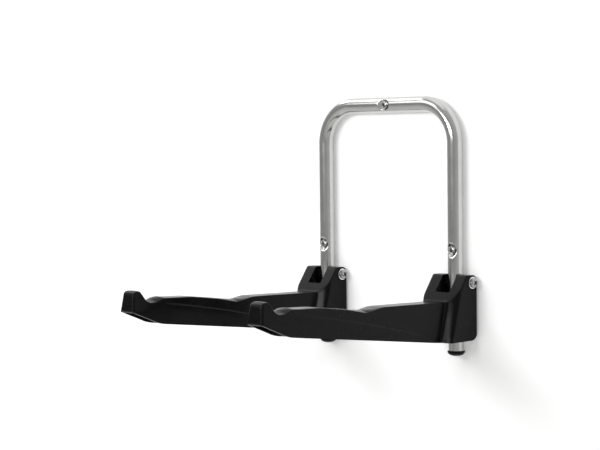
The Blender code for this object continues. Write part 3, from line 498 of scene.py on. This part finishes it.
def arm_grid():
    """Rounded box section carried along the arm, from the housing's back to the hook's face.

    Each station is a ring: up the right side, over the rounded rim and the crowned top, and down
    the left side. Both ends close in by quarter rounds. The rows of a side follow the crease,
    below which the side stands a little proud.
    """
    back = BACK + FOOT_ROUND * (1 - np.cos(np.linspace(0, np.pi / 2, 26)))
    middle = np.concatenate([np.arange(4.5, 10, 1.0), np.arange(10, 28, 1.0), np.arange(28, 66, 0.3),
                             np.linspace(66, 190, 60), np.linspace(191.5, 262, 62),
                             np.linspace(263.5, 366, 42), np.linspace(367, 427, 100)])
    end = REACH - BACK_ROUND * (1 - np.sin(np.linspace(0, np.pi / 2, 22)))[1:]
    n0 = np.concatenate([back, middle, end])
    tip_gap, back_gap = REACH - n0, n0 - BACK
    lean = hook_lean(n0)
    top = arm_top(n0)
    for _ in range(6):
        top = arm_top(n0 - lean * (top - HOOK_FOOT))
    top = top - edge_fall(tip_gap, TIP_ROUND) - edge_fall(back_gap, BACK_ROUND)
    floor = arm_floor(n0) + edge_fall(tip_gap, 3.0) + edge_fall(back_gap, FOOT_ROUND)
    crease = np.clip(np.interp(n0, *np.array(CREASE_AT).T), floor + 4, top - RIM - 3)
    low, high = crease - CREASE_BAND, crease + CREASE_BAND
    below = floor[:, None] + (low - floor)[:, None] * np.linspace(0, 1, 14)[:-1]
    within = crease[:, None] + CREASE_BAND * np.linspace(-1, 1, 7)
    above = high[:, None] + (top - RIM - high)[:, None] * np.linspace(0, 1, 14)[1:]
    rows = np.concatenate([below, within, above], axis=1)
    fade = (smooth_step(n0, 58, 90) * (1 - smooth_step(n0, 330, 385)))[:, None]
    proud = PROUD * fade * (1 - smooth_step(rows, low[:, None], high[:, None]))
    tuck = TUCK * fade * smooth_step(crease[:, None] - rows, 3.0, 30.0)
    change = proud - tuck - 0.5 * fade
    change = change - edge_fall(tip_gap, 4.0)[:, None] - edge_fall(back_gap, RIM)[:, None]
    level = n0[:, None] - lean[:, None] * (rows - HOOK_FOOT)
    side, far_side = arm_half(level, rows) + change, arm_half(level, rows, FAR_SIDE_SHIFT) + change
    arc = np.linspace(0, np.pi / 2, 7)[1:]
    over = np.linspace(1, -1, 27)[1:-1]
    edge, far_edge = side[:, -1:], far_side[:, -1:]
    rim_x = RIM * np.cos(arc) - RIM
    rim_z = (top - RIM)[:, None] + RIM * np.sin(arc)
    crown = np.interp(n0, *np.array(CROWN_AT).T)[:, None] * (1 - over ** 2)
    crown = crown * (1 - edge_fall(tip_gap, TIP_ROUND) / TIP_ROUND)[:, None]
    lid = (edge - far_edge) / 2 + ((edge + far_edge) / 2 - RIM) * over
    ring_x = np.concatenate([side, edge + rim_x, lid, -far_edge - rim_x[::-1], -far_side[:, ::-1]], axis=1)
    ring_z = np.concatenate([rows, rim_z, top[:, None] + crown, rim_z[:, ::-1], rows[:, ::-1]], axis=1)
    ring_n = n0[:, None] - lean[:, None] * (ring_z - HOOK_FOOT)
    return np.stack([ring_x, -ring_n, ring_z], axis=-1)


def closed_grid(name, grid):
    """A stack of closed rings with both ends filled."""
    rows, columns = grid.shape[:2]
    faces = quads(rows, columns).tolist()
    faces.append(list(range(columns - 1, -1, -1)))
    faces.append([(rows - 1) * columns + k for k in range(columns)])
    return skin(name, grid, faces)


def closed_outline(corners):
    """Points of a closed outline whose corners (n, z, rounding) become arcs."""
    middle = ((corners[0][0] + corners[-1][0]) / 2, (corners[0][1] + corners[-1][1]) / 2, 0)
    return rounded_profile([middle, *corners, middle], 10)[:-1]


def across(outline, low, high):
    """A side view (n, z) given a width from low to high."""
    n, z = np.asarray(outline, float).T
    return np.stack([np.stack([np.full(n.size, x), -n, z], axis=-1) for x in (low, high)])


def settle(piece):
    """Applies a piece's modifiers to its mesh."""
    bpy.context.view_layer.update()
    evaluated = piece.evaluated_get(bpy.context.evaluated_depsgraph_get())
    mesh = bpy.data.meshes.new_from_object(evaluated)
    piece.modifiers.clear()
    piece.data = mesh
    return piece


def carve(target, tools):
    """Cuts each tool's shape away in turn, and removes the tools."""
    for tool in tools:
        step = target.modifiers.new("cut", "BOOLEAN")
        step.operation = "DIFFERENCE"
        step.solver = "EXACT"
        step.object = tool
        settle(target)
        bpy.data.objects.remove(tool, do_unlink=True)
    return target


def beam_hollow():
    """Space under the beam: its outline moved in by the shell, open below."""
    n0 = np.concatenate([np.linspace(17, 60, 12), np.linspace(66, 400, 90),
                         np.linspace(402, REACH - SHELL - 0.2, 24)])
    fall = edge_fall(REACH - SHELL - n0, 4.5)
    top, floor = beam_top(n0) - SHELL - fall, arm_floor(n0)
    root = ROOT_HALF - SHELL - 0.6
    roof = np.where(n0 < 62, root, arm_half(n0, top) - SHELL)
    rim = np.where(n0 < 62, root, arm_half(n0, floor) - SHELL)
    low = np.full(n0.shape, -120.0)
    ring_x = np.stack([rim, rim, roof, roof - 2.0, 2.0 - roof, -roof, -rim, -rim], axis=1)
    ring_z = np.stack([low, floor, top - 2.0, top, top, top - 2.0, floor, low], axis=1)
    lean = hook_lean(n0)
    ring_n = n0[:, None] - lean[:, None] * np.maximum(ring_z - HOOK_FOOT, 0.0)
    return closed_grid("hollow", np.stack([ring_x, -ring_n, ring_z], axis=-1))


def rib_plates():
    """Zigzag ribs: thin upright plates that cross the hollow to and fro."""
    plates = []
    for k in range(8):
        side = 1 if k % 2 else -1
        run = np.array([2 * side * RIB_HALF, RIB_PITCH])
        aside = np.array([-run[1], run[0]]) / np.linalg.norm(run)
        start = np.array([-side * RIB_HALF, RIB_FROM + RIB_PITCH * k])
        corners = np.array([start - aside, start + run - aside, start + run + aside, start + aside])
        tops = beam_top(corners[:, 1]) - 1.0
        floors = arm_floor(corners[:, 1]) + 4.0
        low = np.stack([corners[:, 0], -corners[:, 1], floors], -1)
        high = np.stack([corners[:, 0], -corners[:, 1], tops], -1)
        plates.append(closed_grid("rib", np.stack([low, high])))
    return plates


def circle(radius):
    """Points round the pivot in side view, 48 to the turn."""
    turn = np.linspace(0, 2 * np.pi, 48, endpoint=False)
    return np.stack([radius * np.cos(turn), radius * np.sin(turn)], -1)


def lobe_hollow(side):
    """Space inside one side of the housing, open below, round the boss for the bolt."""
    inner, outer = CHANNEL_HALF + SHELL, SIDE - SHELL
    outline = closed_outline([(BACK + SHELL, DROP - 20, 0), (56, DROP - 20, 0), (48.0, DROP, 0),
                              (33.5, HEEL[1] + 0.8, 8), (12.3, LOBE_TOP - SHELL, 2),
                              (BACK + SHELL, LOBE_TOP - SHELL, 5)])
    low, high = sorted((side * inner, side * outer))
    space = closed_grid("lobe_hollow", across(outline, low, high))
    boss = closed_grid("boss", across(circle(BOSS_RADIUS), low - 1, high + 1))
    stem = [(-STEM_HALF, 0.0), (STEM_HALF, 0.0), (STEM_HALF, 25.0), (-STEM_HALF, 25.0)]
    return carve(space, [boss, closed_grid("stem", across(stem, low - 1, high + 1))])


def head_pocket(side):
    """Shallow pocket round the bolt's head or nut, open at the top and wider to the front."""
    turn = np.linspace(np.pi, 2 * np.pi, 41)
    wide = np.where(turn > 1.5 * np.pi, POCKET_FRONT, POCKET_RADIUS)
    bowl = np.stack([wide * np.cos(turn), POCKET_RADIUS * np.sin(turn)], -1)
    outline = np.concatenate([bowl, [(POCKET_FRONT, 30.0), (-POCKET_RADIUS, 30.0)]])
    low, high = sorted((side * (SIDE - POCKET_DEPTH), side * (SIDE + 10)))
    return closed_grid("pocket", across(outline, low, high))


def arm_shell():
    """One arm about its pivot: its outside, then hollowed, slotted and bored."""
    body = closed_grid("arm", arm_grid())
    hollow = carve(beam_hollow(), rib_plates())
    slot = [(CHANNEL_FRONT, DROP - 20), (CHANNEL_FRONT, 40), (-30, 40), (-30, DROP - 20)]
    slot = closed_grid("channel", across(slot, -CHANNEL_HALF, CHANNEL_HALF))
    notch = [(60, NOTCH_FLOOR), (60, 40), (-5, 40), (-5, NOTCH_FLOOR)]
    notch = closed_grid("notch", across(notch, -CHANNEL_HALF, CHANNEL_HALF))
    bore = closed_grid("bore", across(circle(BORE_RADIUS), -60, 60))
    carve(body, [hollow, lobe_hollow(-1), lobe_hollow(1), slot, notch, head_pocket(-1), head_pocket(1),
                 bore])
    tidy(body, 32)
    body.modifiers.new("flow", "WEIGHTED_NORMAL").keep_sharp = True
    return settle(body)


def moulded_nylon():
    """Nylon from a spark-eroded mould: a deep black with soft highlights, broken by a fine grain."""
    made, tree, place = new_material("nylon_moulded_black")
    grain = add(tree, "TexNoise", Vector=place, Scale=1500.0, Detail=2.0, Roughness=0.55)
    flow = add(tree, "TexNoise", Vector=place, Scale=22.0, Detail=3.0, Roughness=0.55)
    tone = add(tree, "Mix", {"data_type": "RGBA"}, _0=flow.outputs["Fac"],
               _6=linear("#060607"), _7=linear("#080809"))
    rough = add(tree, "MapRange", Value=flow.outputs["Fac"], From_Min=0.3, From_Max=0.7,
                To_Min=0.21, To_Max=0.29)
    bump = add(tree, "Bump", Strength=0.12, Distance=0.0002, Height=grain.outputs["Fac"])
    shader = add(tree, "BsdfPrincipled", Base_Color=tone.outputs[2], Roughness=rough.outputs["Result"],
                 IOR=1.53, Specular_IOR_Level=0.1, Normal=bump.outputs["Normal"])
    add(tree, "OutputMaterial", Surface=shader.outputs["BSDF"])
    return made


BLACK = moulded_nylon()
shell = arm_shell()
shape = np.empty(len(shell.data.vertices) * 3)
shell.data.vertices.foreach_get("co", shape)
shell.data.materials.clear()
shell.data.materials.append(BLACK)
for side, x in (("left", -LEG_X), ("right", LEG_X)):
    mesh = shell.data.copy()
    moved = shape.reshape(-1, 3) + np.array([x, -WALL_TO_AXIS, PIVOT_Z]) * 0.001
    mesh.vertices.foreach_set("co", moved.ravel())
    arm = bpy.data.objects.new("moulded_arm_" + side, mesh)
    bpy.context.scene.collection.objects.link(arm)
    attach(arm, side + "_arm")
    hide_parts("arm_" + side)
bpy.data.objects.remove(shell, do_unlink=True)


# Pivots: a zinc-plated M8 bolt with a domed cross-recess head, a bright washer under head and nut,
# a nut with a locking collar, a steel sleeve inside the tube and thin black nylon washers beside
# it. The bolt clamps them so that an arm stays where it is put.
HEAD_SEAT = 33.0
SEAT_GAP = 0.3
WASHER_RADIUS = 9.5
WASHER_THICK = 1.6
BOLT_HEAD = {"radius": 7.8, "height": 5.1, "angle": np.radians(35), "cross": (4.5, 1.2, 3.4)}
BOLT_SHANK = {"radius": 4.0, "core": 3.45, "length": 80.0, "pitch": 1.25, "thread_from": 52.0,
              "point": 0.0}
NUT_HALF = 6.5
NUT_BORE = 4.2
NUT_COLUMNS = 96


def washer(name, low, centre):
    """Flat ring, its outer edges broken by the press; low is its near face from the centre."""
    high = low + WASHER_THICK
    profile = rounded_profile([(BORE_RADIUS, high, 0), (WASHER_RADIUS, high, 0.35),
                               (WASHER_RADIUS, low, 0.35), (BORE_RADIUS, low, 0)], 3)
    return turned(name, np.concatenate([profile, profile[:1]]), centre, "X")


def lock_nut(name, centre):
    """Hexagon by angle, its corners cut back by a cone at the free end, with a round collar."""
    turn = np.linspace(0, 2 * np.pi, NUT_COLUMNS, endpoint=False) + np.pi / NUT_COLUMNS
    sector = (turn + np.pi / 6) % (np.pi / 3) - np.pi / 6
    along = np.array([0.0, -0.35, -0.7, -5.6, -6.2, -6.25, -7.4, -8.0, -7.7, 0.0, 0.0])
    limit = np.array([6.1, 6.3, 7.6, 7.6, 6.2, 6.0, 5.9, 5.4, NUT_BORE, NUT_BORE, 6.1])
    reach = np.minimum(NUT_HALF / np.cos(sector), limit[:, None])
    grid = np.stack([np.broadcast_to(along[:, None], reach.shape), reach * np.cos(turn),
                     reach * np.sin(turn)], -1) + np.asarray(centre, float)
    return skin(name, grid, quads(*reach.shape), 25)


def sheet_nylon():
    """Thin washers stamped from black nylon sheet: dark, slightly waxy."""
    made, tree, place = new_material("nylon_sheet_black")
    cloud = add(tree, "TexNoise", Vector=place, Scale=300.0, Detail=2.0)
    tone = add(tree, "Mix", {"data_type": "RGBA"}, _0=cloud.outputs["Fac"],
               _6=linear("#0d0d0e"), _7=linear("#161617"))
    shader = add(tree, "BsdfPrincipled", Base_Color=tone.outputs[2], Roughness=0.42, IOR=1.53)
    add(tree, "OutputMaterial", Surface=shader.outputs["BSDF"])
    return made


NYLON = sheet_nylon()
ZINC = zinc_plating("zinc_plating_bright", "#e2e3e3", "#efefee")
for side, x in (("left", -LEG_X), ("right", LEG_X)):
    y, z = -WALL_TO_AXIS, PIVOT_Z
    face = HEAD_SEAT + SEAT_GAP
    under = face + WASHER_THICK + SEAT_GAP
    bolt = fastener("bolt_" + side, pan_head(**BOLT_HEAD), shank(**BOLT_SHANK), "X", (x + under, y, z))
    pieces = (
        (bolt, "pivot_bolt_", DULL_ZINC),
        (washer("washer_head_" + side, 0.0, (x + face, y, z)), "head_washer_", ZINC),
        (washer("washer_nut_" + side, -WASHER_THICK, (x - face, y, z)), "nut_washer_", ZINC),
        (lock_nut("nut_" + side, (x - under, y, z)), "lock_nut_", DULL_ZINC),
    )
    for piece, replaced, plating in pieces:
        piece.data.materials.append(plating)
        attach(piece, "frame")
        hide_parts(replaced + side)
    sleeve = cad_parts["crush_sleeve_" + side]
    sleeve.data.materials.clear()
    sleeve.data.materials.append(ZINC)
    for place in ("inner", "outer"):
        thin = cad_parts["side_washer_" + side + "_" + place]
        thin.data.materials.clear()
        thin.data.materials.append(NYLON)


# Studio: a white painted wall that the rack hangs on, a pale floor well below it, soft lamps and
# the camera at the photograph's angle.
WALL_Y = 0.0006
FLOOR_Z = -1.6
WALL_GLOW = 0.19
MIDDLE = (0.0, -0.15, -0.25)


def stage_plane(name, corners, turned_to):
    """A flat four-cornered sheet, its face towards a direction."""
    mesh = bpy.data.meshes.new(name)
    mesh.from_pydata([tuple(c) for c in corners], [], [(0, 1, 2, 3)])
    mesh.update()
    if mesh.polygons[0].normal.dot(turned_to) < 0:
        mesh.flip_normals()
    made = bpy.data.objects.new(name, mesh)
    bpy.context.scene.collection.objects.link(made)
    return made


def painted(name, code):
    """Matt paint with a faint glow that keeps it pale in the picture; clear when seen from behind."""
    made, tree, place = new_material(name)
    speck = add(tree, "TexNoise", Vector=place, Scale=30.0, Detail=2.0)
    tone = add(tree, "Mix", {"data_type": "RGBA"}, _0=speck.outputs["Fac"],
               _6=linear(code), _7=linear(code, 1.02))
    paint = add(tree, "BsdfDiffuse", Color=tone.outputs[2])
    glow = add(tree, "Emission", Color=(1, 1, 1, 1), Strength=WALL_GLOW)
    both = add(tree, "AddShader", _0=paint.outputs[0], _1=glow.outputs[0])
    side = add(tree, "NewGeometry")
    clear = add(tree, "BsdfTransparent")
    result = add(tree, "MixShader", _0=side.outputs["Backfacing"], _1=both.outputs[0],
                 _2=clear.outputs[0])
    add(tree, "OutputMaterial", Surface=result.outputs[0])
    return made


wall = stage_plane("wall", [(-6, WALL_Y, FLOOR_Z), (6, WALL_Y, FLOOR_Z), (6, WALL_Y, 4), (-6, WALL_Y, 4)],
                   (0, -1, 0))
wall.data.materials.append(painted("wall_paint", "#fbfbfb"))
floor = stage_plane("floor", [(-6, -8, FLOOR_Z), (6, -8, FLOOR_Z), (6, 4, FLOOR_Z), (-6, 4, FLOOR_Z)],
                    (0, 0, 1))
floor.data.materials.append(painted("floor_paint", "#c2c2c0"))


def lamp(name, place, size, watts):
    """A soft white four-cornered lamp at a place, turned to the middle of the rack."""
    data = bpy.data.lights.new(name, "AREA")
    data.shape = "RECTANGLE"
    data.size, data.size_y = size
    data.energy = watts
    made = bpy.data.objects.new(name, data)
    bpy.context.scene.collection.objects.link(made)
    made.location = place
    away = np.array(place, float) - np.array(MIDDLE, float)
    made.rotation_euler = Direction(away).to_track_quat("Z", "Y").to_euler()


lamp("key", (-1.6, -2.2, 1.5), (1.3, 1.3), 11)
lamp("left", (-2.2, -0.5, 1.95), (1.1, 1.1), 13)
lamp("front", (-0.25, -2.3, 0.45), (1.3, 0.4), 24)
lamp("overhead", (-0.2, -0.5, 2.0), (1.6, 1.0), 3)

# The camera sees an even white ground; the rack is lit and mirrored by one that dims to the front.
world = bpy.data.worlds.new("studio")
bpy.context.scene.world = world
world.use_nodes = True
air = world.node_tree
air.nodes.clear()
path = add(air, "LightPath")
sky = add(air, "TexCoord")
facing = add(air, "VectorMath", {"operation": "DOT_PRODUCT"}, _0=sky.outputs["Generated"],
             _1=(-0.3, -0.87, -0.4))
level = add(air, "MapRange", Value=facing.outputs["Value"], From_Min=-1.0, From_Max=1.0,
            To_Min=0.8, To_Max=0.3)
shade = add(air, "Background", Color=(1, 1, 1, 1), Strength=level.outputs["Result"])
seen = add(air, "Background", Color=(1, 1, 1, 1), Strength=1.0)
mix = add(air, "MixShader", _0=path.outputs["Is Camera Ray"], _1=shade.outputs[0], _2=seen.outputs[0])
add(air, "OutputWorld", Surface=mix.outputs[0])

# The camera was fitted to the outlines in the photograph: angles in radians, its focal length in
# pixels of the 600 x 450 picture, and the pivots' middle seen from it in millimetres.
YAW, PITCH, ROLL = 0.7882, 0.0512387, -0.0118972
PICTURE_WIDTH = 600.0
SENSOR_WIDTH = 36.0
FOCAL_PIXELS = 1687.0
SHIFT = (145.605, -85.143, 2746.669)
right = np.array([np.cos(YAW), np.sin(YAW), 0.0])
ahead = np.array([-np.sin(YAW) * np.cos(PITCH), np.cos(YAW) * np.cos(PITCH), -np.sin(PITCH)])
up = np.cross(right, ahead)
level_right = right * np.cos(ROLL) + up * np.sin(ROLL)
level_up = up * np.cos(ROLL) - right * np.sin(ROLL)
eye = -(level_right * SHIFT[0] + level_up * SHIFT[1] + ahead * SHIFT[2]) + (0, -WALL_TO_AXIS, PIVOT_Z)
camera = bpy.data.objects.new("camera", bpy.data.cameras.new("camera"))
bpy.context.scene.collection.objects.link(camera)
camera.data.sensor_width = SENSOR_WIDTH
camera.data.lens = FOCAL_PIXELS * SENSOR_WIDTH / PICTURE_WIDTH
camera.data.clip_end = 60.0
pose = np.eye(4)
pose[:3, 0], pose[:3, 1], pose[:3, 2], pose[:3, 3] = level_right, level_up, -ahead, eye * 0.001
camera.matrix_world = Matrix(pose)
bpy.context.scene.camera = camera
bpy.context.scene.view_settings.view_transform = "Standard"
